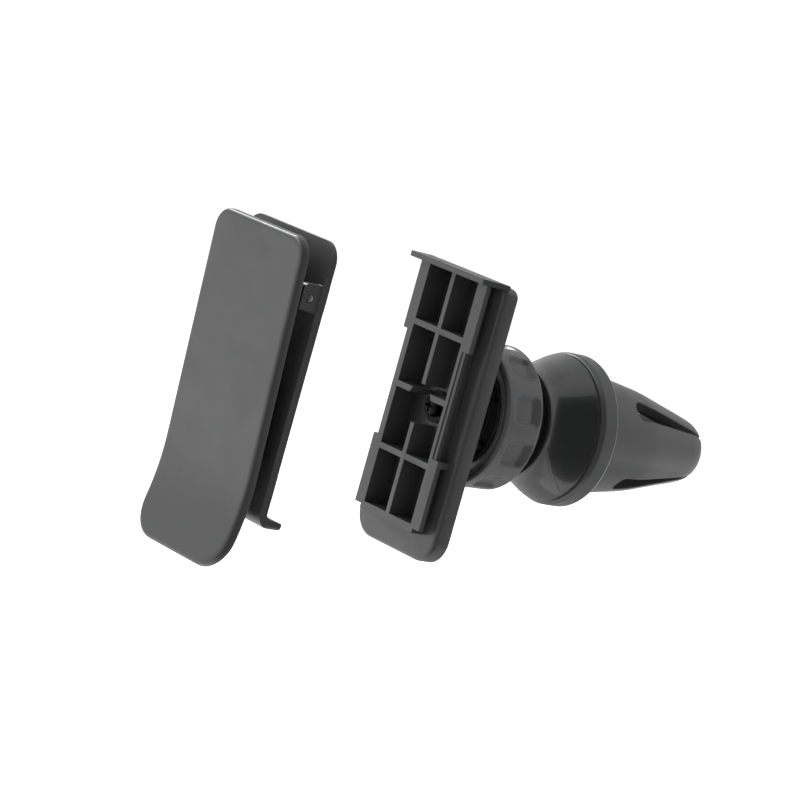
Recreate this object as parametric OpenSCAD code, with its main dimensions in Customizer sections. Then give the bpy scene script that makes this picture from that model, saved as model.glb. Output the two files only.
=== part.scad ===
// Car phone mount, shown with its phone clip taken off: a spring clip, a ribbed adapter
// plate that turns on a ball, and a grip whose four prongs push into an air vent.
// +Y runs along the axis towards the prong tips, +Z is up, and the origin is the centre
// of the stop rim's rear face, which rests against the vent.

/* [Vent grip] */
// Radius of the stop rim
rim_r = 17; // [14:0.5:22]
// Width of the stop rim along the axis
rim_w = 5.2; // [4:0.2:8]
// Length of the flared bell, from its neck to the rim
bell_l = 11; // [9:0.5:14]
// Radius of the bell's neck
neck_r = 12.7; // [11:0.1:13.5]
// Wall of the bell
bell_wall = 1.5; // [1.2:0.1:2]
// Length of the prongs behind the rim
prong_l = 34.6; // [28:0.2:44]
// Radius of the prong cone at the rim
cone_r = 14; // [11.5:0.5:15.5]
// Radius of the prong cone at its tips
tip_r = 6.6; // [5.5:0.1:9]
// Wall of the prongs
prong_wall = 2.6; // [1.6:0.1:2.8]
// Length of the unslotted collar of the cone
slot_root = 10; // [8:0.5:14]
// Width of the slots at their roots
slot_w = 4.6; // [3.6:0.1:6]
// Width of the slots at the prong tips
slot_tip_w = 0.9; // [0.6:0.1:1.5]

/* [Ball joint] */
// Radius of the ball
ball_r = 8.5; // [7:0.1:9]
// Distance from the ball's centre to the adapter plate
plate_reach = 10; // [9.6:0.1:14]
// Distance from the ball's centre to the bell's neck
bell_reach = 9.4; // [9.2:0.1:14]
// Thickness of the friction liners around the ball
liner_t = 0.95; // [0.7:0.05:1.2]
// Wall of the split socket around the liners
collet_wall = 2.4; // [2:0.1:3]
// Running clearance between the ball, the liners and the socket
run_gap = 0.05; // [0.03:0.01:0.1]

/* [Collar nut] */
// Wall of the collar nut outside the socket
nut_wall = 4.1; // [3.4:0.1:5]
// Length of the collar nut
nut_l = 10.3; // [9:0.1:13]
// Distance from the ball's centre to the nut's front face
nut_front = 5.1; // [4.8:0.1:5.6]
// Number of finger dimples round the nut
dimples = 10; // [6:1:14]
// Angle that each dimple takes up
dimple_span = 22; // [14:1:24]
// Depth of the dimples
dimple_d = 1.1; // [0.5:0.1:1.3]
// Clearance between the nut and the socket
nut_gap = 0.15; // [0.1:0.05:0.3]

/* [Adapter plate] */
// Width of the adapter plate
plate_w = 29.4; // [26:0.2:36]
// Height of the plate above the ball's centre
plate_up = 30.5; // [26:0.5:40]
// Depth of the plate below the ball's centre
plate_down = 32.2; // [32:0.2:40]
// Thickness of the adapter plate
plate_t = 3.8; // [3:0.2:5]
// Radius of the plate's lower corners
plate_corner = 6; // [3:0.5:8]
// Height of the ribbed frame in front of the plate
frame_d = 3.2; // [2.8:0.1:4.5]
// Width inside the frame's cells
cell_w = 17.9; // [15:0.1:19]
// Thickness of the frame's side walls
frame_wall = 1; // [0.8:0.1:1.4]
// Width across the flanges that the clip's hooks catch
flange_w = 24.5; // [22:0.1:26]
// Thickness of those flanges
flange_t = 1.1; // [0.9:0.1:1.3]
// Height of one row of cells
cell_pitch = 14; // [11:0.2:14]
// Thickness of the ribs
rib_t = 1.3; // [1:0.1:1.6]
// Floor left behind the cells
floor_t = 1.4; // [1.2:0.1:1.8]
// Thickness of the top lip
lip_t = 1.2; // [1:0.1:2]
// How far the top lip stands in front of the frame
lip_reach = 1.5; // [1:0.1:1.7]

/* [Phone clip] */
// Distance between the frame and the clip, taken off
clip_gap = 42.8; // [30:0.2:60]
// Width of the clip
clip_w = 33.5; // [28:0.5:40]
// Height of the clip's back plate
back_h = 60.8; // [56:0.2:72]
// Thickness of the back plate
back_t = 1.8; // [1.6:0.1:2.2]
// Height of the lever
lever_h = 71.8; // [66:0.2:84]
// Thickness of the lever
lever_t = 2.3; // [2:0.1:2.8]
// Lean of the lever away from the back plate
lever_lean = 2.7; // [1.5:0.1:3.5]
// Distance between the lever and the back plate at the hinge pin
hinge_gap = 4.6; // [3.8:0.1:5]
// Distance of the hinge pin below the clip's top
pin_drop = 12; // [10:0.5:16]
// Radius of the steel hinge pin
pin_r = 0.9; // [0.7:0.05:1]
// Clearance between the pin and the lever's ears
pin_gap = 0.05; // [0.03:0.01:0.1]
// Radius of the lever's flare
flare_r = 60; // [50:1:80]
// Angle of the lever's flare
flare_angle = 20; // [12:1:20]
// Depth of the shelf at the foot of the back plate
shelf_d = 4.2; // [3:0.1:4.6]
// How far the hooks stand behind the back plate
hook_d = 2.2; // [2.1:0.05:2.3]
// Height of each hook
hook_h = 5; // [3:0.5:5]

/* [Hidden] */

PLASTIC = [0.16, 0.16, 0.17];
GLOSSY = [0.10, 0.10, 0.11];
RUBBER = [0.07, 0.07, 0.07];
NYLON = [0.80, 0.79, 0.74];
STEEL = [0.72, 0.73, 0.75];

ROUND = 96;
SMALL = 48;
over = 0.5;
seam = 0.02;

// Stations along the axis
bell_y = -rim_w - bell_l;
ball_y = bell_y - bell_reach;
plate_y = ball_y - plate_reach;
front_y = plate_y - plate_t;
frame_y = front_y - frame_d;
floor_y = plate_y - floor_t;

// Socket and nut
liner_in = ball_r + run_gap;
liner_out = liner_in + liner_t;
socket_in = liner_out + run_gap;
collet_r = socket_in + collet_wall;
nut_bore = collet_r + nut_gap;
nut_r = nut_bore + nut_wall;
finger_r = socket_in + 0.5;
finger_y = ball_y - ball_r * 0.36;
tip_y = ball_y - ball_r * 0.47;
finger_in = sqrt(pow(socket_in, 2) - pow(ball_y - tip_y, 2));
nut_y0 = ball_y - nut_front;
nut_y1 = nut_y0 + nut_l;
dish_r = nut_r - 2.6;
dish_y = nut_y0 + 1.5;
nut_edge = 0.8;
stem_r = neck_r - bell_wall - seam;
foot_r = 7.4;
foot_edge = 0.7;
foot_h = 1.7;
stalk_r = 4.4;

// Prong cone, with a knee between its collar and its prongs
knee_y = slot_root + 6;
knee_r = tip_r + (cone_r - tip_r) * 0.66;
tip_land = 3.7;
base_t = 3;
base_y = -1.4;
base_r = cone_r + 1;
base_step = -1.9;

// Screws
screw_r = 1.5;
head_r = 2.3;
head_h = 2;
washer_r = 3.6;
washer_t = 0.6;
cross_w = 0.6;
screw_l = 10.5;

// Adapter plate frame
rib_z = 2.24;
cell_z1 = plate_up - lip_t;
foot_t = 1.7;
foot_trim = 0.5;
cell_z0 = rib_z - 2 * cell_pitch + rib_t / 2 + foot_trim;
frame_z0 = cell_z0 - foot_t;
stem_w = cell_w + 2 * frame_wall;
flange_z = frame_z0 + 1;
window_z0 = rib_z - cell_pitch + 2;
window_z1 = rib_z + cell_pitch - 2.1;
stop_t = 1.5;
plate_top_corner = 3;
screw_hole_r = 4.3;

// Clip, from the top of the back plate down
clip_up = 1.25;
clip_y = frame_y - clip_gap;
clip_z1 = plate_up + clip_up;
clip_z0 = clip_z1 - back_h;
back_y = clip_y - back_t;
pin_y = back_y - hinge_gap / 2 + 0.07;
pin_z = clip_z1 - pin_drop;
lever_z1 = clip_z1 - 0.15;
lever_z0 = lever_z1 - lever_h;
lever_y = back_y - hinge_gap;
flare_up = 11;
flare_d = 14;
top_corner = 4.5;
foot_corner = 7.8;
flare_z = clip_z0 + flare_up;
lug_t = 1.6;
lug_up = 3;
lug_down = 3.1;
lug_round = 1.1;
lug_x = clip_w / 2 - 0.25;
ear_t = 1.5;
ear_gap = 0.2;
ear_up = 3.5;
ear_r = hinge_gap / 2 - 0.15;
thumb_h = 9.5;
shelf_t = 2.1;
shelf_tip = 1.6;
shelf_fillet = 1.3;
shelf_round = 3;
hook_t = 1.4;
hook_up = 5.7;
hook_drop = 14.65;
hook_catch = 1;
hook_grip = 0.95;
hook_x = flange_w / 2 + 0.15;
pad_h = 16;
pad_rise = 2;
pad_w = clip_w - 11;
pad_t = 1;
wire_r = 0.35;
leg_gap = 0.1;
coil_r = back_y - pin_y - leg_gap - wire_r;
coil_turns = 8;
coil_pitch = 2 * wire_r + 0.15;
leg_l = 9;

// Points on a circular arc
function arc(x, y, r, from, to, n = 8) =
    [for (i = [0:n]) [x + r * cos(from + (to - from) * i / n), y + r * sin(from + (to - from) * i / n)]];

// Radius of the cone's outside at a distance behind the rim
function cone_at(y) = y < knee_y
    ? cone_r + (knee_r - cone_r) * y / knee_y
    : knee_r + (tip_r - knee_r) * (y - knee_y) / (prong_l - knee_y);

// Turns local +Z onto +Y
module along_y(y = 0) translate([0, y, 0]) rotate([-90, 0, 0]) children();

// A solid turned about the Y axis from an outline of radius and distance
module turned(points) along_y() rotate_extrude($fn = ROUND) polygon(points);

// A rounded outline, standing on its lower edge
module rounded(w, h, r_top, r_foot) {
    for (side = [-1, 1]) {
        translate([side * (w / 2 - r_top), h - r_top]) circle(r_top, $fn = SMALL);
        translate([side * (w / 2 - r_foot), r_foot]) circle(r_foot, $fn = SMALL);
    }
    translate([-w / 2, r_foot]) square([w, h - r_top - r_foot]);
    translate([-w / 2 + r_top, h / 2]) square([w - 2 * r_top, h / 2]);
    translate([-w / 2 + r_foot, 0]) square([w - 2 * r_foot, h / 2]);
}

// A rounded slab facing -Y, from y to y + t and upwards from z
module slab(w, h, t, y, z, r_top, r_foot)
    translate([0, y + t, z]) rotate([90, 0, 0]) linear_extrude(t) rounded(w, h, r_top, r_foot);

// A block from one corner to the other
module block(a, b) translate(a) cube(b - a);

// The lever's side outline in Y and Z: a leaning strip that flares out at its foot
module lever_side() {
    top = lever_z1 - pin_z;
    knee = flare_z - pin_z;
    drop = flare_r * sin(flare_angle);
    kick = flare_r * (1 - cos(flare_angle));
    rest = (lever_h - (lever_z1 - flare_z) - drop) / cos(flare_angle);
    rotate(lever_lean) polygon(concat(
        [[0, top], [-lever_t, top]],
        arc(-lever_t - (flare_r - lever_t), knee, flare_r - lever_t, 0, -flare_angle),
        [[-flare_r + (flare_r - lever_t) * cos(flare_angle) - rest * sin(flare_angle),
          knee - (flare_r - lever_t) * sin(flare_angle) - rest * cos(flare_angle)],
         [-kick - rest * sin(flare_angle), knee - drop - rest * cos(flare_angle)]],
        arc(-flare_r, knee, flare_r, -flare_angle, 0)));
}

module clip_lever() color(PLASTIC) difference() {
    union() {
        intersection() {
            translate([-clip_w / 2, lever_y, pin_z]) rotate([90, 0, 90])
                linear_extrude(clip_w) lever_side();
            slab(clip_w, lever_h, 2 * flare_d, lever_y - flare_d, lever_z0, top_corner, foot_corner);
        }
        for (side = [-1, 1]) translate([side * ear_mid(), 0, 0]) {
            translate([-ear_t / 2, pin_y, pin_z]) rotate([0, 90, 0])
                cylinder(ear_t, r = ear_r, $fn = SMALL);
            block([-ear_t / 2, lever_y - lever_t / 2, pin_z - ear_r], [ear_t / 2, pin_y, pin_z + ear_up]);
        }
    }
    translate([-clip_w / 2, pin_y, pin_z]) rotate([0, 90, 0])
        cylinder(clip_w, r = pin_r + pin_gap, $fn = SMALL);
}

// Middle of each lever ear, inside the back plate's lugs
function ear_mid() = lug_x - lug_t - ear_gap - ear_t / 2;

module lever_pad() color(RUBBER)
    translate([0, lever_y, pin_z]) rotate([lever_lean, 0, 0])
        block([-pad_w / 2, seam, flare_z - pin_z + pad_rise],
              [pad_w / 2, seam + pad_t, flare_z - pin_z + pad_rise + pad_h]);

module back_pad() color(RUBBER)
    block([-pad_w / 2, back_y - pad_t - seam, flare_z + pad_rise],
          [pad_w / 2, back_y - seam, flare_z + pad_rise + pad_h]);

// The hook on one side: a stem behind the plate with a catch that reaches inwards
module hook(side, z) {
    stem = [hook_x, hook_x + hook_t];
    catch_y = clip_y + hook_d - hook_grip;
    mirror([side < 0 ? 1 : 0, 0, 0]) {
        block([stem[0], clip_y - over, z], [stem[1], clip_y + hook_d, z + hook_h]);
        block([stem[0] - hook_catch, catch_y, z], [stem[1], clip_y + hook_d, z + hook_h]);
    }
}

module clip_back_plate() color(PLASTIC) difference() {
    union() {
        intersection() {
            translate([-clip_w / 2, 0, 0]) rotate([90, 0, 90]) linear_extrude(clip_w) back_side();
            slab(clip_w, back_h, 2 * flare_d, clip_y - flare_d, clip_z0, top_corner, 1);
        }
        for (side = [-1, 1]) {
            hook(side, clip_z0 + hook_up);
            hook(side, clip_z1 - hook_drop);
            translate([side * (lug_x - lug_t / 2) - lug_t / 2, 0, 0]) rotate([90, 0, 90])
                linear_extrude(lug_t) lug_side();
        }
    }
    translate([-clip_w / 2, pin_y, pin_z]) rotate([0, 90, 0]) cylinder(clip_w, r = pin_r, $fn = SMALL);
}

// The back plate's side outline in Y and Z: thinned behind the thumb, with a shelf at its foot
module back_side() polygon(concat(
    [[back_y, clip_z1 - thumb_h], [back_y + back_t * 0.55, clip_z1], [clip_y, clip_z1]],
    arc(clip_y + shelf_fillet, clip_z0 + shelf_t + shelf_fillet, shelf_fillet, 180, 270),
    [[clip_y + shelf_d, clip_z0 + shelf_tip], [clip_y + shelf_d, clip_z0]],
    arc(back_y + shelf_round, clip_z0 + shelf_round, shelf_round, 270, 180)));

// The lug's side outline, with its upper front corner rounded
module lug_side() {
    front = pin_y - ear_r + 0.13;
    top = pin_z + lug_up;
    polygon(concat(
        [[back_y + over, pin_z - lug_down], [back_y + over, top]],
        arc(front + lug_round, top - lug_round, lug_round, 90, 180, 6),
        [[front, pin_z - lug_down + 0.6]]));
}

module hinge_pin() color(STEEL) translate([-lug_x, pin_y, pin_z]) rotate([0, 90, 0])
    cylinder(2 * lug_x, r = pin_r, $fn = SMALL);

// A close coil drawn as a stack of rings, with a leg up each plate
module torsion_spring() color(STEEL) {
    half = coil_turns * coil_pitch / 2;
    translate([-half, pin_y, pin_z]) rotate([0, 90, 0]) rotate_extrude($fn = SMALL)
        translate([coil_r - wire_r, 0]) square([2 * wire_r, 2 * half]);
    for (side = [-1, 1]) translate([side * (half - wire_r), pin_y + side * coil_r, pin_z])
        rotate([side < 0 ? lever_lean : 0, 0, 0]) block([-wire_r, -wire_r, 0], [wire_r, wire_r, leg_l]);
}

module adapter_plate() color(PLASTIC) difference() {
    union() {
        slab(plate_w, plate_up + plate_down, plate_t, front_y, -plate_down, plate_top_corner, plate_corner);
        block([-stem_w / 2, frame_y, frame_z0], [stem_w / 2, front_y + over, plate_up - lip_t]);
        block([-flange_w / 2 + 1.2, frame_y + 0.2, flange_z], [flange_w / 2 - 1.2, frame_y + 1.2, cell_z1]);
        for (side = [-1, 1]) {
            flange(side, window_z1, cell_z1);
            flange(side, flange_z, window_z0);
            mirror([side < 0 ? 1 : 0, 0, 0])
                block([stem_w / 2 - over, frame_y, window_z0 - stop_t],
                      [flange_w / 2, front_y + over, window_z0]);
        }
        block([-plate_w / 2, frame_y - lip_reach, plate_up - lip_t], [plate_w / 2, front_y + 1, plate_up]);
    }
    difference() {
        block([-cell_w / 2, frame_y - over, cell_z0], [cell_w / 2, floor_y, cell_z1]);
        for (row = [-1:1])
            block([-cell_w / 2, frame_y - 1, rib_z + row * cell_pitch - rib_t / 2],
                  [cell_w / 2, plate_y, rib_z + row * cell_pitch + rib_t / 2]);
        block([-rib_t / 2, frame_y - 1, cell_z0 - 1], [rib_t / 2, plate_y, cell_z1 + 1]);
    }
    along_y(frame_y - over) cylinder(floor_y - frame_y + over, r = screw_hole_r, $fn = SMALL);
    along_y(front_y - over) cylinder(plate_t + 2 * over, r = screw_r + nut_gap, $fn = SMALL);
}

// One length of the flange that the clip's hooks slide behind
module flange(side, z0, z1)
    mirror([side < 0 ? 1 : 0, 0, 0])
        block([cell_w / 2, frame_y, z0], [flange_w / 2, frame_y + flange_t, z1]);

// A pan-head screw with a cross recess, its head's underside at y and its shank along dir
module screw(y, dir, length) translate([0, y, 0]) rotate([dir > 0 ? -90 : 90, 0, 0]) {
    difference() {
        translate([0, 0, -head_h]) cylinder(head_h, r = head_r, $fn = SMALL);
        for (turn = [0, 90]) rotate(turn)
            translate([-head_r * 0.6, -cross_w / 2, -head_h - over])
                cube([head_r * 1.2, cross_w, head_h * 0.5 + over]);
    }
    cylinder(length, r = screw_r, $fn = SMALL);
}

module washer(y) along_y(y) difference() {
    cylinder(washer_t, r = washer_r, $fn = SMALL);
    translate([0, 0, -over]) cylinder(washer_t + 2 * over, r = screw_r + nut_gap, $fn = SMALL);
}

module centre_screw() color(STEEL) screw(floor_y - washer_t, 1, screw_l);

module screw_washer() color(STEEL) washer(floor_y - washer_t);

module ball_stud() color(PLASTIC) difference() {
    union() {
        translate([0, ball_y, 0]) sphere(ball_r, $fn = ROUND);
        turned([
            [0, plate_y], [foot_r, plate_y], [foot_r, plate_y + foot_edge],
            [stalk_r, plate_y + foot_h], [stalk_r, ball_y], [0, ball_y]
        ]);
    }
    along_y(plate_y - over) cylinder(screw_l - washer_t - floor_t + over, r = screw_r, $fn = SMALL);
}

// Part of a spherical shell round the ball, between two distances from its centre
module ball_shell(from, to) along_y(ball_y) rotate_extrude($fn = ROUND) intersection() {
    difference() {
        circle(liner_out, $fn = ROUND);
        circle(liner_in, $fn = ROUND);
    }
    translate([0, from]) square([liner_out + over, to - from]);
}

module ball_liner() color(NYLON) ball_shell(-ball_r * 0.5, ball_r * 0.14);

module ball_seat() color(NYLON) ball_shell(ball_r * 0.56, ball_r * 0.94);

module socket_collet() color(PLASTIC) difference() {
    union() {
        turned([
            [0, ball_y], [collet_r, ball_y], [collet_r, nut_y1 + 0.6], [stem_r - 0.5, nut_y1 + 1.2],
            [stem_r - 0.5, bell_y + 0.5], [stem_r, bell_y + 0.5], [stem_r, bell_y + 5], [0, bell_y + 5]
        ]);
        turned([
            [0, tip_y], [finger_r, tip_y], [finger_r, finger_y], [collet_r, ball_y],
            [collet_r, ball_y + 1], [0, ball_y + 1]
        ]);
    }
    along_y(ball_y) rotate_extrude($fn = ROUND) intersection() {
        union() {
            circle(socket_in, $fn = ROUND);
            translate([0, tip_y - ball_y - over]) square([finger_in, over + 1]);
        }
        translate([0, -2 * ball_r]) square(4 * ball_r);
    }
    for (turn = [0:60:120]) rotate([0, turn + 30, 0])
        block([-collet_r - over, tip_y - over, -0.5], [collet_r + over, ball_y + 2.5, 0.5]);
    along_y(bell_y - over) cylinder(6, r = screw_r, $fn = SMALL);
}

module collar_nut() color(PLASTIC) difference() {
    turned([
        [nut_bore, nut_y1], [nut_bore, ball_y], [finger_r + nut_gap, finger_y],
        [finger_r + nut_gap, dish_y], [dish_r, nut_y0], [nut_r - nut_edge, nut_y0],
        [nut_r, nut_y0 + nut_edge], [nut_r, nut_y1 - 2.2], [nut_r - 1.3, nut_y1]
    ]);
    for (i = [0:dimples - 1]) rotate([0, i * 360 / dimples, 0])
        translate([0, 0, nut_r + dimple_round() - dimple_d]) rotate([-90, 0, 0])
            translate([0, 0, nut_y0 + 2]) cylinder(nut_l, r = dimple_round(), $fn = SMALL);
}

// Radius of the cutter that leaves a dimple of the stated angle and depth
function dimple_round() = (pow(nut_r * sin(dimple_span / 2), 2) + pow(dimple_d, 2)) / (2 * dimple_d);

// Outline of the bell between its neck and the rim, as a flare that eases in and out
function bell_line(inset) = [for (i = [0:10])
    let (t = i / 10, ease = t * t * (1.9 - 0.9 * t))
    [neck_r - inset + (rim_r - 0.5 - neck_r) * ease, bell_y + 1 + (bell_l - 1) * t]];

module bell_cup() color(GLOSSY) difference() {
    turned(concat([[0, bell_y + 0.02], [neck_r - 0.4, bell_y + 0.02]], bell_line(0), [[0, -rim_w]]));
    turned(concat([[0, bell_y + 6]], [for (p = bell_line(bell_wall)) if (p[1] > bell_y + 6) p],
        [[rim_r - 0.5 - bell_wall, -rim_w + over], [0, -rim_w + over]]));
    along_y(bell_y - over) cylinder(7, r = stem_r, $fn = ROUND);
}

module stop_rim() color(PLASTIC) turned([
    [cone_r + seam, base_step + seam], [base_r + seam, base_step + seam],
    [base_r + seam, -rim_w], [rim_r - 0.6, -rim_w], [rim_r - 0.6, -rim_w + 0.3],
    [rim_r - 0.3, -rim_w + 0.4], [rim_r, -rim_w * 0.6], [rim_r, -rim_w * 0.3],
    [rim_r - 0.4, -0.2], [rim_r - 0.7, 0], [cone_r + seam, 0]
]);

module prong_cone() color(PLASTIC) difference() {
    turned([
        [0, base_y - base_t], [base_r, base_y - base_t], [base_r, base_step], [cone_r, base_step],
        [cone_r, 0], [knee_r, knee_y],
        [cone_at(prong_l - 3), prong_l - 3], [tip_r - 0.5, prong_l - 0.6], [tip_r - 1.2, prong_l],
        [0, prong_l]
    ]);
    turned([
        [0, base_y], [cone_at(0) - prong_wall, base_y], [knee_r - prong_wall, knee_y],
        [tip_r - prong_wall, prong_l + over], [0, prong_l + over]
    ]);
    for (turn = [45, 135]) rotate([0, turn, 0]) translate([-rim_r, 0, 0]) rotate([0, 90, 0])
        linear_extrude(2 * rim_r) polygon([
            [-slot_w / 2 + 1, slot_root], [slot_w / 2 - 1, slot_root],
            [slot_w / 2, slot_root + 1.2], [slot_tip_w / 2, prong_l - tip_land],
            [slot_tip_w / 2, prong_l + 1], [-slot_tip_w / 2, prong_l + 1],
            [-slot_tip_w / 2, prong_l - tip_land], [-slot_w / 2, slot_root + 1.2]
        ]);
    along_y(base_y - base_t - over) cylinder(base_t + 2 * over, r = screw_r + nut_gap, $fn = SMALL);
}

module cone_washer() color(STEEL) washer(base_y);

module cone_screw() color(STEEL) screw(base_y + washer_t, -1, screw_l);

clip_lever();
lever_pad();
clip_back_plate();
back_pad();
hinge_pin();
torsion_spring();
adapter_plate();
centre_screw();
screw_washer();
ball_stud();
ball_liner();
ball_seat();
collar_nut();
socket_collet();
bell_cup();
stop_rim();
prong_cone();
cone_screw();
cone_washer();
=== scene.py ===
"""A car phone mount: clip, ribbed plate, ball joint and vent grip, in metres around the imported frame."""
import math

import bmesh
import bpy
from mathutils import Matrix, Vector


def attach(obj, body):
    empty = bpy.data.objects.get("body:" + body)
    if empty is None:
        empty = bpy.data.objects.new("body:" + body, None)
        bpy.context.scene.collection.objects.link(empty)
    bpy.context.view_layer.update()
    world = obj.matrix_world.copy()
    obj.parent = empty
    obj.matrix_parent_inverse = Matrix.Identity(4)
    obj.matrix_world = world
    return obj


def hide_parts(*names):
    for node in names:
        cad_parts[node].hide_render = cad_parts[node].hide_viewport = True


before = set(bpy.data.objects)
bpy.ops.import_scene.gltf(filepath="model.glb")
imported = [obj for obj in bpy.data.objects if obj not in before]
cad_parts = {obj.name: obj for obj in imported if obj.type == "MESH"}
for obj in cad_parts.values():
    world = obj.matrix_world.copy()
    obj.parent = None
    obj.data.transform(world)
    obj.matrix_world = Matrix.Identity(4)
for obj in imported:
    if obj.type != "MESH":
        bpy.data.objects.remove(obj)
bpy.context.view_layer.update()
MM = 0.001


# ---------------------------------------------------------------- sizes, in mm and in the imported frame

SEAM = 0.02
RIM_R, RIM_W = 17.0, 5.2
BELL_Y, NECK_R, BELL_WALL, BELL_BORE = -16.2, 12.7, 1.5, 11.18
CONE_R, TIP_R, PRONG_L, PRONG_WALL = 14.0, 6.6, 34.6, 2.6
KNEE_Y, KNEE_R = 16.0, 11.484
CONE_BASE_R, CONE_STEP, CONE_BASE_Y, CONE_FLOOR_Y = 15.0, -1.9, -4.4, -1.4
NOSE = 3.6
SLOT_ROOT, SLOT_CORNER, SLOT_W, SLOT_TIP_W = 10.0, 1.7, 4.6, 0.9
NUT_Y0, NUT_Y1, NUT_R, NUT_BORE = -30.7, -20.4, 16.2, 12.1
NUT_STEP_Y, NUT_CONE_Y, NUT_MOUTH_R = -25.6, -28.7, 10.45
DIMPLES, DIMPLE_DEPTH = 10, 1.15
PIN_Y, PIN_Z, PIN_R, LUG_X = -89.43, 19.75, 0.9, 16.5
BACK_Y = -87.2
LEVER_Y, LEVER_T, LEVER_LEAN = -91.8, 2.3, math.radians(2.7)
LEVER_W, LEVER_TOP, LEVER_H = 33.5, 31.6, 71.8
LEVER_TOP_CORNER, LEVER_FOOT_CORNER = 4.5, 7.6
FLARE_Z, FLARE_R = -18.05, 60.0
EAR_X, EAR_T, EAR_R = 13.95, 1.5, 2.15
PAD_W, PAD_H, PAD_T, PAD_Z = 22.5, 16.0, 1.0, -16.05
PLATE_W, PLATE_UP, PLATE_DOWN, PLATE_Y, PLATE_FRONT = 29.4, 30.5, 32.2, -35.6, -39.4
PLATE_FOOT_CORNER, PLATE_TOP_CORNER, LIP_END = 6.0, 3.0, 12.3
SCREW_R, SCREW_HEAD_R, SCREW_HEAD_H, SCREW_L = 1.5, 2.3, 2.0, 10.5
PLATE_SCREW_Y, CONE_SCREW_Y = -37.6, -0.8
CROSS_W, CROSS_L = 0.3, 1.38
WIRE_R, COIL_R, COIL_TURNS, SPRING_LEG = 0.35, 1.78, 8, 9.0


# ---------------------------------------------------------------- materials

def noise_node(tree, scale, detail=3.0, roughness=0.5):
    coordinates = tree.nodes.new("ShaderNodeTexCoord")
    texture = tree.nodes.new("ShaderNodeTexNoise")
    texture.inputs["Scale"].default_value = scale
    texture.inputs["Detail"].default_value = detail
    texture.inputs["Roughness"].default_value = roughness
    tree.links.new(coordinates.outputs["Object"], texture.inputs["Vector"])
    return texture


def map_range(tree, source, low, high, start=0.3, end=0.7):
    node = tree.nodes.new("ShaderNodeMapRange")
    node.inputs["From Min"].default_value = start
    node.inputs["From Max"].default_value = end
    node.inputs["To Min"].default_value = low
    node.inputs["To Max"].default_value = high
    tree.links.new(source, node.inputs["Value"])
    return node.outputs["Result"]


def new_material(name):
    material = bpy.data.materials.new(name)
    material.use_nodes = True
    return material, material.node_tree, material.node_tree.nodes["Principled BSDF"]


def plastic_material(name, colour, roughness, grain=0.12, spread=0.05, specular=0.5, coat=0.0):
    """Moulded plastic: a colour that drifts a little, uneven gloss and a fine spark-eroded grain."""
    material, tree, shader = new_material(name)
    cloud = noise_node(tree, 55, 2)
    mix = tree.nodes.new("ShaderNodeMix")
    mix.data_type = "RGBA"
    mix.inputs[6].default_value = (*[c * 0.93 for c in colour], 1)
    mix.inputs[7].default_value = (*[c * 1.07 for c in colour], 1)
    tree.links.new(map_range(tree, cloud.outputs["Fac"], 0, 1), mix.inputs[0])
    tree.links.new(mix.outputs[2], shader.inputs["Base Color"])
    smear = noise_node(tree, 160, 4, 0.6)
    tree.links.new(map_range(tree, smear.outputs["Fac"], roughness - spread, roughness + spread),
                   shader.inputs["Roughness"])
    fine = noise_node(tree, 5200, 2, 0.7)
    bump = tree.nodes.new("ShaderNodeBump")
    bump.inputs["Strength"].default_value = grain
    bump.inputs["Distance"].default_value = 0.00004
    tree.links.new(fine.outputs["Fac"], bump.inputs["Height"])
    tree.links.new(bump.outputs["Normal"], shader.inputs["Normal"])
    shader.inputs["Specular IOR Level"].default_value = specular
    shader.inputs["Coat Weight"].default_value = coat
    shader.inputs["Coat Roughness"].default_value = 0.07
    return material


def rubber_material(name, colour):
    """Dull rubber with a dusty, slightly pitted skin."""
    material, tree, shader = new_material(name)
    shader.inputs["Base Color"].default_value = (*colour, 1)
    dust = noise_node(tree, 900, 5, 0.65)
    tree.links.new(map_range(tree, dust.outputs["Fac"], 0.72, 0.92), shader.inputs["Roughness"])
    bump = tree.nodes.new("ShaderNodeBump")
    bump.inputs["Strength"].default_value = 0.35
    bump.inputs["Distance"].default_value = 0.00005
    tree.links.new(dust.outputs["Fac"], bump.inputs["Height"])
    tree.links.new(bump.outputs["Normal"], shader.inputs["Normal"])
    return material


def steel_material(name, colour, roughness):
    """Plated steel whose colour and gloss both drift with the plating."""
    material, tree, shader = new_material(name)
    shader.inputs["Metallic"].default_value = 1.0
    plating = noise_node(tree, 700, 3)
    mix = tree.nodes.new("ShaderNodeMix")
    mix.data_type = "RGBA"
    mix.inputs[6].default_value = (*[c * 0.85 for c in colour], 1)
    mix.inputs[7].default_value = (*colour, 1)
    tree.links.new(map_range(tree, plating.outputs["Fac"], 0, 1), mix.inputs[0])
    tree.links.new(mix.outputs[2], shader.inputs["Base Color"])
    tree.links.new(map_range(tree, plating.outputs["Fac"], roughness - 0.06, roughness + 0.1),
                   shader.inputs["Roughness"])
    return material


CLIP = plastic_material("clip_plastic", (0.026, 0.0265, 0.028), 0.43)
PLATE = plastic_material("plate_plastic", (0.028, 0.0285, 0.030), 0.38)
# The nut's grey is set lighter than the clip's: painted light, to brighten the front face that the plate
# shades.
NUT = plastic_material("nut_plastic", (0.042, 0.0425, 0.0445), 0.31)
BELL = plastic_material("bell_plastic", (0.010, 0.0105, 0.0115), 0.30, grain=0.03, spread=0.04, coat=0.4)
GRIP = plastic_material("grip_plastic", (0.026, 0.0265, 0.028), 0.34)
BALL = plastic_material("ball_plastic", (0.016, 0.016, 0.017), 0.38, grain=0.06)
NYLON = plastic_material("black_nylon", (0.016, 0.016, 0.017), 0.45, grain=0.08)
RUBBER = rubber_material("rubber", (0.012, 0.012, 0.012))
STEEL = steel_material("steel", (0.50, 0.50, 0.52), 0.34)
BLACKED = steel_material("blacked_steel", (0.016, 0.016, 0.017), 0.45)


# ---------------------------------------------------------------- helpers for mesh pieces

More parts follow.
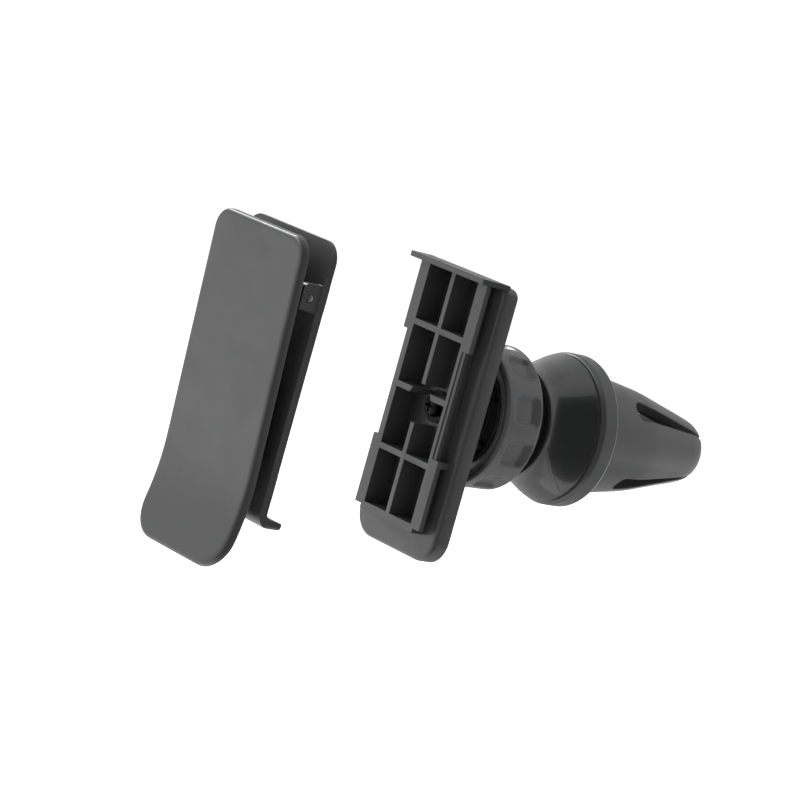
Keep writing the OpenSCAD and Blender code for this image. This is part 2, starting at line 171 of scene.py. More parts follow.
def add_piece(name, mesh, body, material, stands_for=(), sharp=35, bevel=0.0, segments=2, limit=35):
    """Puts a mesh in the scene on its body, with smooth shading, sharp creases and a small bevel if asked."""
    for polygon in mesh.polygons:
        polygon.use_smooth = True
    mesh.set_sharp_from_angle(angle=math.radians(sharp))
    mesh.materials.clear()
    mesh.materials.append(material)
    piece = bpy.data.objects.new(name, mesh)
    bpy.context.scene.collection.objects.link(piece)
    if bevel:
        modifier = piece.modifiers.new("edges", "BEVEL")
        modifier.width = bevel * MM
        modifier.segments = segments
        modifier.limit_method = "ANGLE"
        modifier.angle_limit = math.radians(limit)
        modifier.use_clamp_overlap = True
        modifier.harden_normals = True
    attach(piece, body)
    if stands_for:
        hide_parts(*stands_for)
    return piece


def mesh_from(bm, name):
    bmesh.ops.recalc_face_normals(bm, faces=bm.faces)
    mesh = bpy.data.meshes.new(name)
    bm.to_mesh(mesh)
    bm.free()
    return mesh


def smooth(t):
    t = min(1.0, max(0.0, t))
    return t * t * (3 - 2 * t)


def fillet(points, radii, steps=5):
    """A closed outline whose corners are rounded: radii gives the radius at each point, or 0."""
    out = []
    count = len(points)
    for i, (point, r) in enumerate(zip(points, radii)):
        p = Vector(point)
        if not r:
            out.append(p)
            continue
        before, after = Vector(points[i - 1]) - p, Vector(points[(i + 1) % count]) - p
        turn = before.angle(after)
        if turn > math.radians(176):
            out.append(p)
            continue
        reach = min(r / math.tan(turn / 2), before.length * 0.48, after.length * 0.48)
        size = reach * math.tan(turn / 2)
        a, b = p + before.normalized() * reach, p + after.normalized() * reach
        centre = p + (before.normalized() + after.normalized()).normalized() * size / math.sin(turn / 2)
        start, end = a - centre, b - centre
        for k in range(steps + 1):
            t = k / steps
            out.append(centre + (start * (1 - t) + end * t).normalized() * size)
    return out


def spread(values, step):
    """Adds points between outline points that are further apart than step."""
    out = []
    for i, p in enumerate(values):
        q = values[(i + 1) % len(values)]
        parts = max(1, math.ceil((q - p).length / step))
        out += [p.lerp(q, k / parts) for k in range(parts)]
    return out


def lathe(name, outline, segments, sink=None):
    """A closed outline of (radius, y) turned about the Y axis; sink changes a radius by angle and place."""
    bm = bmesh.new()
    rings = []
    for k in range(segments):
        angle = 2 * math.pi * k / segments
        ring = []
        for r, y in outline:
            if sink:
                r += sink(r, y, angle)
            ring.append(bm.verts.new((r * math.sin(angle) * MM, y * MM, r * math.cos(angle) * MM)))
        rings.append(ring)
    count = len(outline)
    for k in range(segments):
        here, there = rings[k], rings[(k + 1) % segments]
        for i in range(count):
            j = (i + 1) % count
            bm.faces.new((here[i], here[j], there[j], there[i]))
    bmesh.ops.remove_doubles(bm, verts=bm.verts, dist=1e-7)
    bmesh.ops.dissolve_degenerate(bm, dist=1e-7, edges=bm.edges)
    return mesh_from(bm, name)


def cad_copy(node, angle=0.6):
    """The CAD node's own mesh, welded and with its flat faces joined, ready for bevelled edges."""
    bm = bmesh.new()
    bm.from_mesh(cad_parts[node].data)
    bmesh.ops.remove_doubles(bm, verts=bm.verts, dist=2e-6)
    bmesh.ops.dissolve_limit(bm, angle_limit=math.radians(angle), verts=bm.verts, edges=bm.edges)
    return mesh_from(bm, node + "_copy")


def cylinder_mesh(name, start, end, radius, segments=32, crown=0.0, rings=4):
    """A rod between two points with an edge round at both ends."""
    bm = bmesh.new()
    axis = Vector(end) - Vector(start)
    side = axis.orthogonal().normalized()
    other = axis.normalized().cross(side)
    profile = []
    for k in range(rings + 1):
        a = math.pi / 2 * k / rings
        profile.append((crown * (1 - math.cos(a)), radius - crown * (1 - math.sin(a))))
    length = axis.length
    profile += [(length - d, r) for d, r in reversed(profile)]
    loops = []
    for d, r in profile:
        centre = Vector(start) + axis.normalized() * d
        loops.append([bm.verts.new((centre + (side * math.cos(t) + other * math.sin(t)) * r) * MM)
                      for t in (2 * math.pi * i / segments for i in range(segments))])
    for a, b in zip(loops, loops[1:]):
        for i in range(segments):
            bm.faces.new((a[i], a[(i + 1) % segments], b[(i + 1) % segments], b[i]))
    bm.faces.new(loops[0])
    bm.faces.new(list(reversed(loops[-1])))
    return mesh_from(bm, name)


def block_mesh(bm, low, high):
    """A box between two corners, added to bm."""
    corners = [bm.verts.new(Vector((x, y, z)) * MM)
               for x in (low[0], high[0]) for y in (low[1], high[1]) for z in (low[2], high[2])]
    for face in ((0, 1, 3, 2), (4, 6, 7, 5), (0, 4, 5, 1), (2, 3, 7, 6), (0, 2, 6, 4), (1, 5, 7, 3)):
        bm.faces.new([corners[i] for i in face])


# ---------------------------------------------------------------- the lever

EDGE_ROWS = (0, 0.03, 0.1, 0.22, 0.4, 0.62, 0.9, 1.3)
ACROSS_ROWS = (*EDGE_ROWS, 2.0, 3.0)
DOWN_ROWS = (*EDGE_ROWS, 1.9, 2.6, 3.4, 4.3, 5.2, 6.2, 7.3, 8.5)


def edge_steps(total, fine):
    """Distances along a length, packed closely at both ends."""
    middle = max(2, round((total - 2 * fine[-1]) / 1.6))
    inner = [fine[-1] + (total - 2 * fine[-1]) * k / middle for k in range(1, middle)]
    return list(fine) + inner + [total - f for f in reversed(fine)]


def outline_half(w, h, top, foot, u):
    """Half the width of a rounded outline at a distance u below its top."""
    if u < top:
        return w / 2 - top + math.sqrt(max(0, top * top - (top - u) ** 2))
    if u > h - foot:
        return w / 2 - foot + math.sqrt(max(0, foot * foot - (u - h + foot) ** 2))
    return w / 2


def inside(w, h, top, foot, x, u):
    """Distance of a point from the edge of a rounded outline."""
    x = abs(x)
    r, across, down = (top, w / 2 - top - x, top - u) if u < h / 2 else (foot, w / 2 - foot - x, u - h + foot)
    if across < 0 and down > 0:
        return max(0.0, r - math.hypot(across, down))
    return max(0.0, min(w / 2 - x, u, h - u))


def lever_point(offset, z):
    """(y, z) on the lever at an offset in front of its rear face, whose height before it bends is z."""
    knee = FLARE_Z - PIN_Z
    w = z - PIN_Z
    if w >= knee:
        v, up = -offset, w
    else:
        angle = min((knee - w) / FLARE_R * 1.02, math.radians(30))
        v = -FLARE_R + (FLARE_R - offset) * math.cos(angle)
        up = knee - (FLARE_R - offset) * math.sin(angle)
    c, s = math.cos(LEVER_LEAN), math.sin(LEVER_LEAN)
    return LEVER_Y + v * c - up * s, PIN_Z + v * s + up * c


def lever_mesh(edge=0.85):
    """The lever's curved shell, with its front edge rounded more than its rear one."""
    w, h, top, foot = LEVER_W, LEVER_H, LEVER_TOP_CORNER, LEVER_FOOT_CORNER
    bm = bmesh.new()
    front, rear = [], []
    for u in edge_steps(h, DOWN_ROWS):
        half = outline_half(w, h, top, foot, u)
        row_front, row_rear = [], []
        for step in edge_steps(w, ACROSS_ROWS):
            x = (step - w / 2) / (w / 2) * half
            d = inside(w, h, top, foot, x, u)
            thin = edge - math.sqrt(max(0, edge * edge - max(0, edge - d) ** 2))
            for row, offset in ((row_front, LEVER_T - thin), (row_rear, 0.6 * thin)):
                y, z = lever_point(offset, LEVER_TOP - u)
                row.append(bm.verts.new((x * MM, y * MM, z * MM)))
        front.append(row_front)
        rear.append(row_rear)
    n = len(front[0])
    for a, b in zip(range(len(front)), range(1, len(front))):
        for i in range(n - 1):
            bm.faces.new((front[a][i], front[b][i], front[b][i + 1], front[a][i + 1]))
            bm.faces.new((rear[a][i], rear[a][i + 1], rear[b][i + 1], rear[b][i]))
        for i in (0, n - 1):
            bm.faces.new((front[a][i], rear[a][i], rear[b][i], front[b][i]))
    for a in (0, -1):
        for i in range(n - 1):
            bm.faces.new((front[a][i], front[a][i + 1], rear[a][i + 1], rear[a][i]))
    return mesh_from(bm, "lever_shell")


def ear_mesh(steps=40):
    """The lever's two ears round the pin, sunk into its rear face, with the pin's holes."""
    bm = bmesh.new()
    for side in (-1, 1):
        x0, x1 = side * EAR_X - EAR_T / 2, side * EAR_X + EAR_T / 2
        ring, hole = [], []
        for k in range(steps):
            a = 2 * math.pi * k / steps
            y, z = math.cos(a), math.sin(a)
            outer_y, outer_z = EAR_R * y, EAR_R * z
            if y < 0:
                outer_y = max(outer_y * 1.8, -2.6) if abs(z) < 0.98 else outer_y
                outer_z = EAR_R * (1 if z > 0 else -1) if y < -0.2 else outer_z
            ring.append((outer_y, outer_z))
            hole.append(((PIN_R + 0.05) * y, (PIN_R + 0.05) * z))
        loops = []
        for x in (x0, x1):
            for points in (ring, hole):
                loops.append([bm.verts.new((x * MM, (PIN_Y + y) * MM, (PIN_Z + z) * MM)) for y, z in points])
        for k in range(steps):
            j = (k + 1) % steps
            bm.faces.new((loops[0][k], loops[0][j], loops[1][j], loops[1][k]))
            bm.faces.new((loops[2][k], loops[3][k], loops[3][j], loops[2][j]))
            bm.faces.new((loops[0][k], loops[2][k], loops[2][j], loops[0][j]))
            bm.faces.new((loops[1][k], loops[1][j], loops[3][j], loops[3][k]))
    return mesh_from(bm, "lever_ears")


add_piece("lever_shell", lever_mesh(), "lever", CLIP, ("clip_lever",), sharp=50)
add_piece("lever_ears", ear_mesh(), "lever", CLIP, sharp=30)


# ---------------------------------------------------------------- the back plate, pin, spring and pads

add_piece("back_plate", cad_copy("clip_back_plate"), "clip", CLIP, ("clip_back_plate",),
          bevel=0.28, segments=3, limit=40)
add_piece("hinge_pin_rod", cylinder_mesh("hinge_pin_rod", (-LUG_X, PIN_Y, PIN_Z), (LUG_X, PIN_Y, PIN_Z),
                                         PIN_R - 0.02, 40, 0.34), "clip", STEEL, ("hinge_pin",))


def tube_mesh(name, path, radius, segments=12):
    """A round wire along a path of points, closed at both ends."""
    bm = bmesh.new()
    loops = []
    side = (path[1] - path[0]).orthogonal().normalized()
    for i, p in enumerate(path):
        ahead = (path[min(i + 1, len(path) - 1)] - path[max(i - 1, 0)]).normalized()
        side = (side - ahead * side.dot(ahead)).normalized()
        other = ahead.cross(side)
        loops.append([bm.verts.new((p + (side * math.cos(t) + other * math.sin(t)) * radius) * MM)
                      for t in (2 * math.pi * k / segments for k in range(segments))])
    for a, b in zip(loops, loops[1:]):
        for i in range(segments):
            bm.faces.new((a[i], a[(i + 1) % segments], b[(i + 1) % segments], b[i]))
    bm.faces.new(loops[0])
    bm.faces.new(list(reversed(loops[-1])))
    return mesh_from(bm, name)


def coil_point(x, angle):
    """A point on the spring's coil round the pin, at an angle from its lever side over its top."""
    return Vector((x, PIN_Y - COIL_R * math.cos(angle), PIN_Z + COIL_R * math.sin(angle)))


def spring_pieces(steps=28):
    """The coil with its rear leg up the back plate, and the front leg, which rides the lever."""
    pitch = 2 * WIRE_R + 0.15
    x1 = COIL_TURNS * pitch / 2 - WIRE_R
    x0, total = -x1, COIL_TURNS * steps
    path = [coil_point(x0 + 2 * x1 * k / total, 2 * math.pi * k / steps) for k in range(total + 1)]
    turn = [coil_point(x1, math.pi * k / 12) for k in range(1, 13)]
    back = path + turn + [Vector((x1, PIN_Y + COIL_R, PIN_Z + SPRING_LEG * t)) for t in (0.2, 0.5, 1.0)]
    add_piece("spring_coil", tube_mesh("spring_coil", back, WIRE_R), "clip", STEEL,
              ("torsion_spring",))
    lean = Matrix.Rotation(LEVER_LEAN, 3, "X")
    front = [Vector((x0, PIN_Y, PIN_Z)) + lean @ Vector((0, -COIL_R, d))
             for d in (-0.3, 0.0, SPRING_LEG / 2, SPRING_LEG)]
    add_piece("spring_lever_leg", tube_mesh("spring_lever_leg", front, WIRE_R), "lever", STEEL)


spring_pieces()


def pad_mesh(ribs=9):
    """A rubber pad with raised cross ribs on its working face, in its own frame: x across, y out, z up."""
    bm = bmesh.new()
    block_mesh(bm, (-PAD_W / 2, 0, 0), (PAD_W / 2, PAD_T * 0.6, PAD_H))
    pitch = PAD_H / ribs
    for k in range(ribs):
        z = pitch * (k + 0.5)
        block_mesh(bm, (-PAD_W / 2 + 0.6, PAD_T * 0.5, z - pitch * 0.26),
                   (PAD_W / 2 - 0.6, PAD_T, z + pitch * 0.26))
    return bm


def add_pads():
    """One ribbed pad on the lever's inner face and one on the back plate."""
    lean = Matrix.Translation((0, LEVER_Y, PIN_Z)) @ Matrix.Rotation(LEVER_LEAN, 4, "X")
    place = lean @ Matrix.Translation((0, SEAM, PAD_Z - PIN_Z))
    rear = Matrix.Translation((0, BACK_Y - SEAM, PAD_Z)) @ Matrix.Rotation(math.pi, 4, "Z")
    scale = Matrix.Scale(MM, 4)
    for name, matrix, body, node in (("lever_pad_ribbed", place, "lever", "lever_pad"),
                                     ("back_pad_ribbed", rear, "clip", "back_pad")):
        bm = pad_mesh()
        bmesh.ops.transform(bm, matrix=scale @ matrix @ scale.inverted(), verts=bm.verts)
        add_piece(name, mesh_from(bm, name), body, RUBBER, (node,), bevel=0.12)


add_pads()


# ---------------------------------------------------------------- the adapter plate

def on_outline(p):
    """Whether a point lies on the plate's outer edge, away from the lip."""
    x, z = abs(p.x / MM), p.z / MM
    if abs(x - PLATE_W / 2) < 0.02 or abs(z + PLATE_DOWN) < 0.02 or z > PLATE_UP - 1:
        return True
    r = PLATE_FOOT_CORNER
    across, down = x - (PLATE_W / 2 - r), -(z + PLATE_DOWN - r)
    if across > -0.02 and down > -0.02 and abs(math.hypot(across, down) - r) < 0.05:
        return True
    r = PLATE_TOP_CORNER
    across, up = x - (PLATE_W / 2 - r), z - (PLATE_UP - r)
    return across > -0.1 and up > -0.1 and abs(math.hypot(across, up) - r) < 0.05


def round_plate(mesh, front=1.0, rear=0.4, crown=0.9):
    """Rounds the plate's outer edges more than the rest, crowns its top towards the rear, and draws in
    the front corner at the lip's right end."""
    bm = bmesh.new()
    bm.from_mesh(mesh)
    for v in bm.verts:
        back = smooth((v.co.y / MM - PLATE_FRONT) / (PLATE_Y - PLATE_FRONT))
        v.co.z -= crown * MM * back * min(1, max(0, (v.co.z / MM - PLATE_UP + 3) / 3))
        if v.co.y / MM < PLATE_FRONT - 0.5 and v.co.z / MM > PLATE_UP - 3 and v.co.x / MM > LIP_END:
            v.co.x = LIP_END * MM
    for y, size in ((PLATE_FRONT, front), (PLATE_Y, rear)):
        edges = [e for e in bm.edges if len(e.link_faces) == 2 and e.calc_face_angle(0) > math.radians(60)
                 and all(abs(v.co.y / MM - y) < 0.01 and on_outline(v.co) for v in e.verts)]
        bmesh.ops.bevel(bm, geom=edges, offset=size * MM, offset_type="OFFSET", segments=7, profile=0.5,
                        affect="EDGES", clamp_overlap=True)
    bm.to_mesh(mesh)
    bm.free()
    return mesh


add_piece("ribbed_plate", round_plate(cad_copy("adapter_plate")), "head", PLATE,
          ("adapter_plate",), bevel=0.22, segments=3, limit=40)


# ---------------------------------------------------------------- the collar nut

def dimple(r, y, angle):
    """How far the nut's outside is sunk at a place: ten finger scoops that end short of the rear edge."""
    if r < NUT_R - 1.6 or y < NUT_Y0 + 0.9:
        return 0.0
    step = 2 * math.pi / DIMPLES
    off = abs((angle + step / 2) % step - step / 2)
    half = math.radians(11.5)
    across = off / half
    bend = smooth((across - 0.55) / 0.45)
    along, left = (y - NUT_Y0 - 2.1 - 0.9 * bend) / 0.9, (NUT_Y1 - 0.7 - 0.5 * bend - y) / 1.9
    if across >= 1 or along <= 0 or left <= 0:
        return 0.0
    wall = smooth((1 - across) / 0.16)
    bowl = 1 - 0.3 * across * across
    return -DIMPLE_DEPTH * wall * bowl * smooth(along) * smooth(left)


def nut_outline():
    points = [
        (NUT_BORE, NUT_Y1 - 0.3), (NUT_BORE, NUT_STEP_Y), (NUT_MOUTH_R, NUT_CONE_Y),
        (NUT_MOUTH_R, NUT_Y0 + 2.2), (13.3, NUT_Y0 + 0.75), (13.7, NUT_Y0 + 0.12), (14.75, NUT_Y0),
        (14.8, NUT_Y0 + 0.5), (15.15, NUT_Y0 + 0.5), (15.2, NUT_Y0 + 0.02),
        (NUT_R, NUT_Y0 + 0.15), (NUT_R - 0.3, NUT_Y1), (NUT_BORE + 0.3, NUT_Y1),
    ]
    radii = [0, 0, 0, 0.3, 0.3, 0.3, 0.12, 0.05, 0.05, 0.1, 0.7, 0.9, 0.2]
    return spread(fillet(points, radii, 6), 0.32)


add_piece("collar_nut_scooped", lathe("collar_nut_scooped", nut_outline(), 360, dimple), "collar", NUT,
          ("collar_nut",), sharp=60)


# ---------------------------------------------------------------- the bell, stop rim and prong cone

def bell_radius(t):
    """The bell's outside radius at a share of the way from its neck to the rim."""
    ease = t * t * (1.9 - 0.9 * t)
    return NECK_R + (RIM_R - 0.5 - NECK_R) * ease


def bell_outline():
    front = [(NECK_R - 0.4 + 0.4 * math.sin(a), BELL_Y + 0.42 - 0.4 * math.cos(a))
             for a in (math.pi / 2 * k / 6 for k in range(7))]
    outer = [(bell_radius(k / 26 * 0.97), BELL_Y + 1 + 9.7 * k / 26) for k in range(0, 27)]
    edge = outer[-1]
    lip = [(edge[0] + 0.02, edge[1] + 0.08), (edge[0] - 0.08, edge[1] + 0.16), (edge[0] - 0.5, edge[1] + 0.2),
           (edge[0] - 0.52, -RIM_W)]
    inner = [(RIM_R - 2.0, -RIM_W)]
    inner += [(bell_radius(t) - BELL_WALL, BELL_Y + 1 + 10 * t) for t in (0.95, 0.85, 0.75, 0.65, 0.55)]
    stem = [(BELL_BORE, BELL_Y + 6.4), (BELL_BORE, BELL_Y + SEAM)]
    return [Vector(p) for p in front + outer + lip + inner + stem]


def rim_outline():
    points = [
        (CONE_R + SEAM, CONE_STEP + SEAM), (CONE_BASE_R + SEAM, CONE_STEP + SEAM), (CONE_BASE_R + SEAM, -RIM_W),
        (RIM_R - 1.0, -RIM_W), (RIM_R - 1.0, -RIM_W + 0.45), (RIM_R - 0.35, -RIM_W + 0.5),
        (RIM_R, -RIM_W + 1.5), (RIM_R, -0.5), (RIM_R - 0.3, 0), (CONE_R + SEAM, 0),
    ]
    return spread(fillet(points, [0, 0, 0, 0.05, 0.1, 0.35, 0.9, 0.3, 0.22, 0.12], 5), 1.2)


add_piece("bell_cup_gloss", lathe("bell_cup_gloss", bell_outline(), 192), "grip", BELL,
          ("bell_cup",), sharp=40)
add_piece("stop_rim_crowned", lathe("stop_rim_crowned", rim_outline(), 192), "grip", GRIP,
          ("stop_rim",), sharp=40)


def seam_path(steps=24, start=-14.4, end=-6.3):
    """A fine moulding line that runs slantwise down the bell, just proud of its surface."""
    path = []
    for k in range(steps + 1):
        t = k / steps
        y = start + (end - start) * t
        angle = math.radians(105.5 + 33.5 * t + 4.5 * math.sin(math.pi * t))
        r = bell_radius((y - BELL_Y - 1) / 10) - 0.02
        path.append(Vector((r * math.sin(angle), y, r * math.cos(angle))))
    return path


add_piece("bell_moulding_line", tube_mesh("bell_moulding_line", seam_path(), 0.12, 8), "grip", BELL)


def cone_radius(y):
    if y < KNEE_Y:
        return CONE_R + (KNEE_R - CONE_R) * y / KNEE_Y
    return KNEE_R + (TIP_R - KNEE_R) * (y - KNEE_Y) / (PRONG_L - KNEE_Y)


def cone_outer(y):
    """The cone's outside radius: softened at the knee, with a turned-in nose at the tips."""
    nose = PRONG_L - NOSE
    if y > nose:
        return cone_radius(nose) - (y - nose) * 0.33 - 0.7 * ((y - nose) / NOSE) ** 4
    if 3 < y < PRONG_L - 5:
        return sum(cone_radius(y + d) for d in (-2, -1, 0, 1, 2)) / 5
    return cone_radius(y)


def cone_inner(y):
    if y < KNEE_Y:
        return CONE_R - PRONG_WALL + (KNEE_R - CONE_R) * max(0, y) / KNEE_Y
    return KNEE_R - PRONG_WALL + (TIP_R - KNEE_R) * (y - KNEE_Y) / (PRONG_L - KNEE_Y)


def slot_half(y):
    """Half the slot's width at a distance behind the rim, with rounded root corners."""
    r = SLOT_CORNER
    if y < SLOT_ROOT + r:
        k = max(0.0, y - SLOT_ROOT)
        return SLOT_W / 2 - r + math.sqrt(max(0, r * r - (r - k) ** 2))
    share = (y - SLOT_ROOT - r) / (PRONG_L - NOSE - 0.1 - SLOT_ROOT - r)
    return max(SLOT_TIP_W / 2, SLOT_W / 2 + (SLOT_TIP_W / 2 - SLOT_W / 2) * share)


def prong_mesh(columns=14, across=3, taper_rows=22):
    """The cone: a full ring at its base that parts into four prongs, built as one closed wall."""
    rows = [0, 0.3, 1, 2.5, 4, 5.5, 7, 8.5]
    root_row = len(rows)
    knee = SLOT_ROOT + SLOT_CORNER
    rows += [SLOT_ROOT + d for d in (0, 0.3, 0.7, 1.15)] + [knee]
    rows += [knee + (PRONG_L - NOSE - 0.05 - knee) * k / taper_rows for k in range(1, taper_rows + 1)]
    rows += [PRONG_L - d for d in (3.55, 3.0, 2.4, 1.8, 1.2, 0.6, 0)]
    bm = bmesh.new()
    grids = []
    for radius_at in (cone_outer, cone_inner):
        grid = []
        for y in rows:
            line = []
            r = radius_at(y)
            gap = slot_half(y)
            for quarter in range(4):
                middle = math.radians(45 + 90 * quarter)
                reach = math.asin(min(0.95, gap / r))
                start, end = middle + reach, middle + math.pi / 2 - reach
                angles = [middle + reach * (2 * k / (across - 1) - 1) for k in range(across)]
                angles += [start + (end - start) * k / columns for k in range(1, columns)]
                line += [bm.verts.new((r * math.sin(a) * MM, y * MM, r * math.cos(a) * MM)) for a in angles]
            grid.append(line)
        grids.append(grid)
    outer, inner = grids
    count = len(outer[0])
    per = across + columns - 1
    for i in range(len(rows) - 1):
        for k in range(count):
            j = (k + 1) % count
            in_slot = k % per < across - 1
            if i >= root_row and in_slot:
                continue
            bm.faces.new((outer[i][k], outer[i][j], outer[i + 1][j], outer[i + 1][k]))
            bm.faces.new((inner[i][k], inner[i + 1][k], inner[i + 1][j], inner[i][j]))
            if i >= root_row and k % per == across - 1:
                bm.faces.new((outer[i][k], outer[i + 1][k], inner[i + 1][k], inner[i][k]))
            if i >= root_row and (k + 1) % per == 0:
                bm.faces.new((outer[i][j], inner[i][j], inner[i + 1][j], outer[i + 1][j]))
    last = len(rows) - 1
    for k in range(count):
        j = (k + 1) % count
        if k % per < across - 1:
            bm.faces.new((outer[root_row][k], outer[root_row][j], inner[root_row][j], inner[root_row][k]))
        else:
            bm.faces.new((outer[last][k], outer[last][j], inner[last][j], inner[last][k]))
    base_loops = [outer[0]]
    bore = SCREW_R + 0.15
    for r, y in ((CONE_R, CONE_STEP), (CONE_BASE_R, CONE_STEP), (CONE_BASE_R, CONE_BASE_Y), (bore, CONE_BASE_Y),
                 (bore, CONE_FLOOR_Y), (CONE_R - PRONG_WALL, CONE_FLOOR_Y)):
        base_loops.append([bm.verts.new((v.co.x * r / CONE_R, y * MM, v.co.z * r / CONE_R)) for v in outer[0]])
    base_loops.append(inner[0])
    for a, b in zip(base_loops, base_loops[1:]):
        for k in range(count):
            j = (k + 1) % count
            bm.faces.new((a[k], b[k], b[j], a[j]))
    bmesh.ops.delete(bm, geom=[v for v in bm.verts if not v.link_faces], context="VERTS")
    return mesh_from(bm, "prongs")


add_piece("prongs", prong_mesh(), "grip", GRIP, ("prong_cone",), bevel=0.22, segments=3,
          limit=42)


# ---------------------------------------------------------------- screws, and the CAD pieces that stay

def screw_mesh(name, y, facing, length=SCREW_L, segments=48):
    """A pan-head screw: a domed head and a threaded shank of stacked rings."""
    bm = bmesh.new()
    profile = [(0.0, SCREW_HEAD_H)]
    for k in range(1, 9):
        a = math.pi / 2 * k / 8
        profile.append((SCREW_HEAD_R * math.sin(a), SCREW_HEAD_H - 0.9 * (1 - math.cos(a))))
    profile += [(SCREW_HEAD_R, 0.08), (SCREW_HEAD_R - 0.08, 0.0), (SCREW_R, 0.0)]
    pitch, down = 0.8, 0.4
    while down < length - 0.9:
        profile += [(SCREW_R - 0.32, -down), (SCREW_R - 0.02, -down - pitch * 0.42)]
        down += pitch
    profile += [(SCREW_R - 0.35, -length + 0.4), (SCREW_R - 0.8, -length), (0.0, -length)]
    loops = []
    for r, h in profile:
        if r == 0:
            loops.append([bm.verts.new((0, (y - facing * h) * MM, 0))])
            continue
        loops.append([bm.verts.new((r * math.cos(t) * MM, (y - facing * h) * MM, r * math.sin(t) * MM))
                      for t in (2 * math.pi * i / segments for i in range(segments))])
    for a, b in zip(loops, loops[1:]):
        for i in range(segments):
            j = (i + 1) % segments
            if len(a) == 1:
                bm.faces.new((a[0], b[j], b[i]))
            elif len(b) == 1:
                bm.faces.new((a[i], a[j], b[0]))
            else:
                bm.faces.new((a[i], a[j], b[j], b[i]))
    return mesh_from(bm, name)


def cut_cross(piece, y, facing):
    """Cuts a cross recess into a screw's head, 1 mm deep."""
    bm = bmesh.new()
    a, b = y - facing * (SCREW_HEAD_H - 1.0), y - facing * (SCREW_HEAD_H + 1.0)
    low, high = min(a, b), max(a, b)
    block_mesh(bm, (-CROSS_L, low, -CROSS_W), (CROSS_L, high, CROSS_W))
    block_mesh(bm, (-CROSS_W, low, -CROSS_L), (CROSS_W, high, CROSS_L))
    bmesh.ops.recalc_face_normals(bm, faces=bm.faces)
    cutter_mesh = bpy.data.meshes.new("cross")
    bm.to_mesh(cutter_mesh)
    bm.free()
    cutter = bpy.data.objects.new("cross", cutter_mesh)
    bpy.context.scene.collection.objects.link(cutter)
    modifier = piece.modifiers.new("cross", "BOOLEAN")
    modifier.operation, modifier.solver, modifier.use_self = "DIFFERENCE", "EXACT", True
    modifier.object = cutter
    bpy.context.view_layer.update()
    baked = bpy.data.meshes.new_from_object(piece.evaluated_get(bpy.context.evaluated_depsgraph_get()))
    piece.modifiers.clear()
    piece.data = baked
    bpy.data.objects.remove(cutter)


def add_screws():
    """The screw through the adapter plate and the one in the cone."""
    for name, node, body, y, facing in (("screw_through_plate", "centre_screw", "head", PLATE_SCREW_Y, 1),
                                        ("screw_in_cone", "cone_screw", "grip", CONE_SCREW_Y, -1)):
        piece = add_piece(name, screw_mesh(name, y, facing), body, BLACKED, (node,), sharp=30)
        cut_cross(piece, y, facing)


add_screws()

for node, material, slot in (("ball_stud", BALL, "ball_plastic"), ("socket_collet", BALL, "ball_plastic"),
                             ("ball_liner", NYLON, "nylon"), ("ball_seat", NYLON, "nylon"),
                             ("screw_washer", BLACKED, "steel"), ("cone_washer", BLACKED, "steel")):
    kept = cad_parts[node]
    kept.data.materials.clear()
    kept.data.materials.append(material)


# ---------------------------------------------------------------- camera, floor and lights

CARD_CENTRE, CARD_R = (0, -0.01, 0), 0.15
CAMERA_PLACE = Vector((0.6875, -0.5752, 0.1057))
CAMERA_AZIMUTH, CAMERA_HEIGHT, CAMERA_ROLL = (math.radians(a) for a in (52.49, 6.955, 15.64))
CAMERA_LENS = 183.7
FLOOR_Z = -0.16


def add_camera():
    """The photo's camera: its place, direction, roll and lens."""
    a, e, roll = CAMERA_AZIMUTH, CAMERA_HEIGHT, CAMERA_ROLL
    right = Vector((math.cos(a), math.sin(a), 0))
    back = Vector((math.sin(a) * math.cos(e), -math.cos(a) * math.cos(e), math.sin(e)))
    up = back.cross(right)
    x = right * math.cos(roll) + up * math.sin(roll)
    y = up * math.cos(roll) - right * math.sin(roll)
    camera = bpy.data.objects.new("camera", bpy.data.cameras.new("camera"))
    camera.data.lens = CAMERA_LENS
    camera.data.clip_start, camera.data.clip_end = 0.01, 400
    turn = Matrix((x, y, back)).transposed().to_4x4()
    camera.matrix_world = Matrix.Translation(CAMERA_PLACE) @ turn
    bpy.context.scene.collection.objects.link(camera)
    bpy.context.scene.camera = camera


def add_world():
    """Even white light from all sides, bright enough to leave the background white."""
    world = bpy.data.worlds.new("studio")
    world.use_nodes = True
    world.node_tree.nodes["Background"].inputs["Color"].default_value = (1, 1, 1, 1)
    world.node_tree.nodes["Background"].inputs["Strength"].default_value = 1.06
    bpy.context.scene.world = world
    bpy.context.scene.view_settings.view_transform = "Standard"


def stage_material(name, grey, roughness=0.6):
    """A plain grey for the floor and the cards."""
    material, tree, shader = new_material(name)
    shader.inputs["Base Color"].default_value = (grey, grey, grey, 1)
    shader.inputs["Roughness"].default_value = roughness
    return material


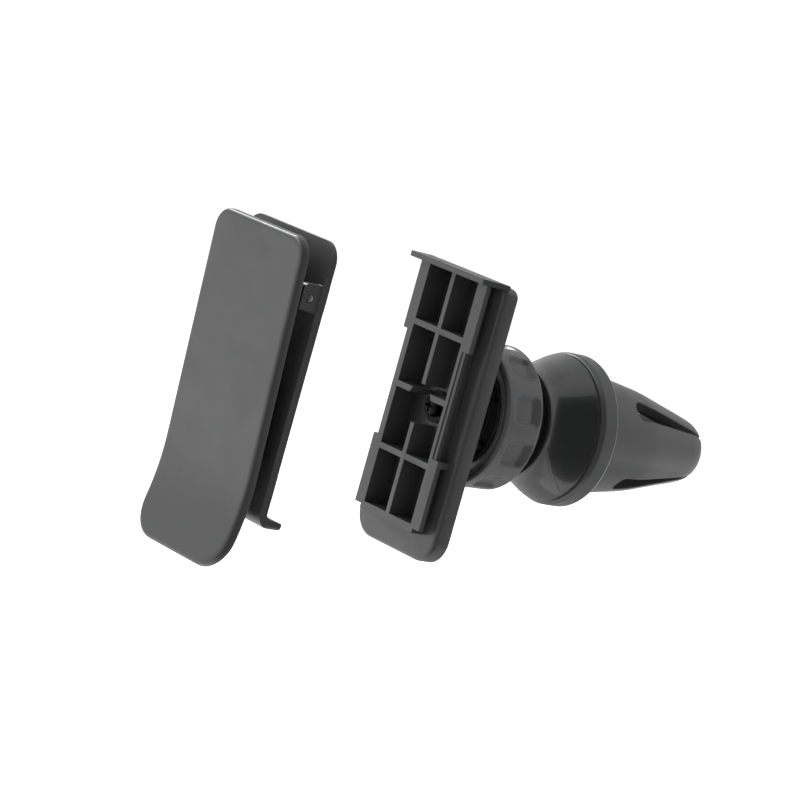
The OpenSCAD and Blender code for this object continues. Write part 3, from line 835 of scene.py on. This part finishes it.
def stage_plane(name, size, place, material):
    """A level square sheet that belongs to the studio."""
    mesh = bpy.data.meshes.new(name)
    half = size / 2
    corners = [(-half, -half, 0), (half, -half, 0), (half, half, 0), (-half, half, 0)]
    mesh.from_pydata(corners, [], [(0, 1, 2, 3)])
    plane = bpy.data.objects.new(name, mesh)
    plane.location = place
    mesh.materials.append(material)
    bpy.context.scene.collection.objects.link(plane)


def add_card(name, radius, around, up, material, steps=24, slant=0.0):
    """A curved card that only reflections see, between two azimuths and two heights in degrees.
    slant narrows it below a height of -35 degrees, by so many degrees of azimuth for each degree down."""
    bm = bmesh.new()
    rows, centre = [], CARD_CENTRE
    for i in range(steps + 1):
        height = up[0] + (up[1] - up[0]) * i / steps
        e, end = math.radians(height), around[1] + slant * min(0, height + 35)
        rows.append([bm.verts.new((centre[0] + radius * math.cos(e) * math.cos(a),
                                   centre[1] + radius * math.cos(e) * math.sin(a),
                                   centre[2] + radius * math.sin(e)))
                     for a in (math.radians(around[0] + (end - around[0]) * k / steps)
                               for k in range(steps + 1))])
    for a, b in zip(rows, rows[1:]):
        for k in range(steps):
            bm.faces.new((a[k], a[k + 1], b[k + 1], b[k]))
    card = bpy.data.objects.new(name, mesh_from(bm, name))
    card.data.materials.append(material)
    bpy.context.scene.collection.objects.link(card)
    card.visible_camera = card.visible_diffuse = card.visible_shadow = False


def area_light(name, place, target, size, power):
    """A round softbox that faces a point."""
    light = bpy.data.objects.new(name, bpy.data.lights.new(name, "AREA"))
    light.data.shape = "DISK"
    light.data.size = size
    light.data.energy = power
    light.location = place
    light.rotation_euler = (Vector(target) - Vector(place)).to_track_quat("-Z", "Y").to_euler()
    bpy.context.scene.collection.objects.link(light)


add_camera()
add_world()
stage_plane("floor", 300, (0, 0, FLOOR_Z), stage_material("floor_white", 0.985, 0.9))
add_card("side_card", CARD_R, (-70, 31), (-70, 62), stage_material("card_black", 0.004), slant=1.0)
add_card("under_card", CARD_R, (31.5, 175), (-80, -22), stage_material("card_grey", 0.42))
add_card("far_card", CARD_R + 0.002, (95, 165), (0, 80), stage_material("card_pale", 0.5))
area_light("key", (-0.9, -1.3, 1.1), (0, -0.05, 0), 0.8, 12)
area_light("top_left", (-1.2, -0.15, 0.95), (0, -0.04, 0), 0.3, 16)
